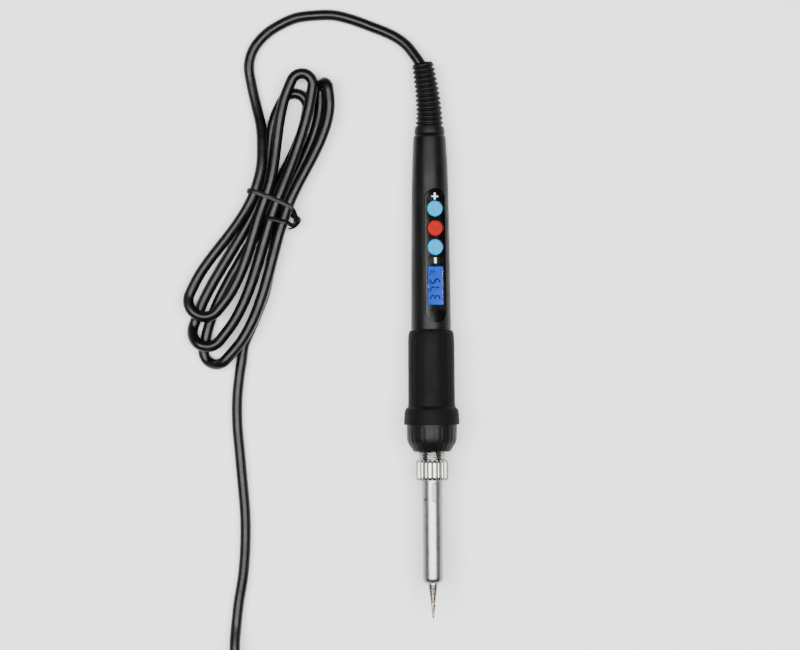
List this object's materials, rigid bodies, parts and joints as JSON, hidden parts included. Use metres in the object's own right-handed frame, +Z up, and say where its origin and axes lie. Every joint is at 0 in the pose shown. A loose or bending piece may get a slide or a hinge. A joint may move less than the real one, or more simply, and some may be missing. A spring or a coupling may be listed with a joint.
{
  "type": "soldering iron",
  "caption": "Slim digital soldering iron with panel buttons and display, flanged rubber grip, steel barrel, removable tip, and a mains lead tied in a hank.",
  "frame": {"origin": "the middle of the iron's own box, without the lead, at the height of the table it rests on", "axes": "+Y along the iron from the tip to the lead, +X to the panel's side, +Z up from the table"},
  "size_m": [0.1161, 0.3305, 0.0234],
  "materials": {
    "handle_plastic": "satin",
    "nose_plastic": "satin moulded",
    "moulded_black": "moulded",
    "grip_rubber": "matt",
    "boot_rubber": "satin",
    "nickel_plate": "bright nickel plate",
    "barrel_steel": "polished",
    "tip_plating": "iron plated, tinned at the point",
    "ceramic": "unglazed white",
    "wire_metal": "drawn wire",
    "panel_gloss": "glossy",
    "lens_clear": "clear",
    "display_blue": "backlit blue",
    "board_green": "solder mask",
    "cord_pvc": "satin sheath",
    "core_brown": "sheath",
    "core_blue": "sheath",
    "tie_black": "satin",
    "plug_black": "moulded",
    "pin_nickel": "nickel plate",
    "button_cyan": "satin",
    "button_red": "satin"
  },
  "bodies": {
    "handle": {"handle_body": "handle_plastic", "grip_sleeve": "grip_rubber", "nose_cap": "nose_plastic", "strain_relief_boot": "boot_rubber", "threaded_collar": "nickel_plate", "heater_base": "ceramic", "heater_rod": "ceramic", "heater_lead_left": "wire_metal", "heater_lead_right": "wire_metal", "sensor_lead_left": "wire_metal", "sensor_lead_right": "wire_metal", "fascia_panel": "panel_gloss", "display_lens": "lens_clear", "lcd_cell": "display_blue", "lcd_backlight": "display_blue", "switch_plus": "moulded_black", "switch_power": "moulded_black", "switch_minus": "moulded_black", "circuit_board": "board_green", "microcontroller": "moulded_black", "triac": "moulded_black", "capacitor": "nickel_plate", "inner_frame": "moulded_black", "board_screw_rear": "nickel_plate", "board_screw_front": "nickel_plate", "lead_inner": "cord_pvc", "supply_wire_live": "core_brown", "supply_wire_neutral": "core_blue", "lead_arch": "cord_pvc", "lead_hank": "cord_pvc", "lead_tail": "cord_pvc", "cord_tie": "tie_black", "plug_body": "plug_black", "plug_pin_left": "pin_nickel", "plug_pin_right": "pin_nickel"},
    "tip": {"soldering_tip": "tip_plating"},
    "barrel": {"barrel_tube": "barrel_steel"},
    "nut": {"knurled_nut": "nickel_plate"},
    "plus": {"button_plus": "button_cyan"},
    "power": {"button_power": "button_red"},
    "minus": {"button_minus": "button_cyan"}
  },
  "joints": [
    {"name": "plus_press", "type": "slide", "parent": "handle", "child": "plus", "axis": [-0.284, -0.0487, -0.9576], "range_m": [0, 0.0005], "stiffness_N_per_m": 600, "springref_m": -0.0003},
    {"name": "power_press", "type": "slide", "parent": "handle", "child": "power", "axis": [-0.284, -0.0487, -0.9576], "range_m": [0, 0.0005], "stiffness_N_per_m": 600, "springref_m": -0.0003},
    {"name": "minus_press", "type": "slide", "parent": "handle", "child": "minus", "axis": [-0.284, -0.0487, -0.9576], "range_m": [0, 0.0005], "stiffness_N_per_m": 600, "springref_m": -0.0003},
    {"name": "tip_pull", "type": "slide", "parent": "handle", "child": "tip", "axis": [0, -0.9992, 0.039], "range_m": [0, 0.05]},
    {"name": "barrel_advance", "type": "slide", "parent": "tip", "child": "barrel", "axis": [0, -0.9992, 0.039], "range_m": [0, 0.004]},
    {"name": "nut_turn", "type": "hinge", "parent": "barrel", "child": "nut", "pos_m": [0, -0.0548, 0.01247], "axis": [0, -0.9992, 0.039], "range_deg": [0, 1440]}
  ],
  "couplings": [
    {"joint": "nut_turn", "follows": "barrel_advance", "rad_per_m": 6283.2}
  ]
}
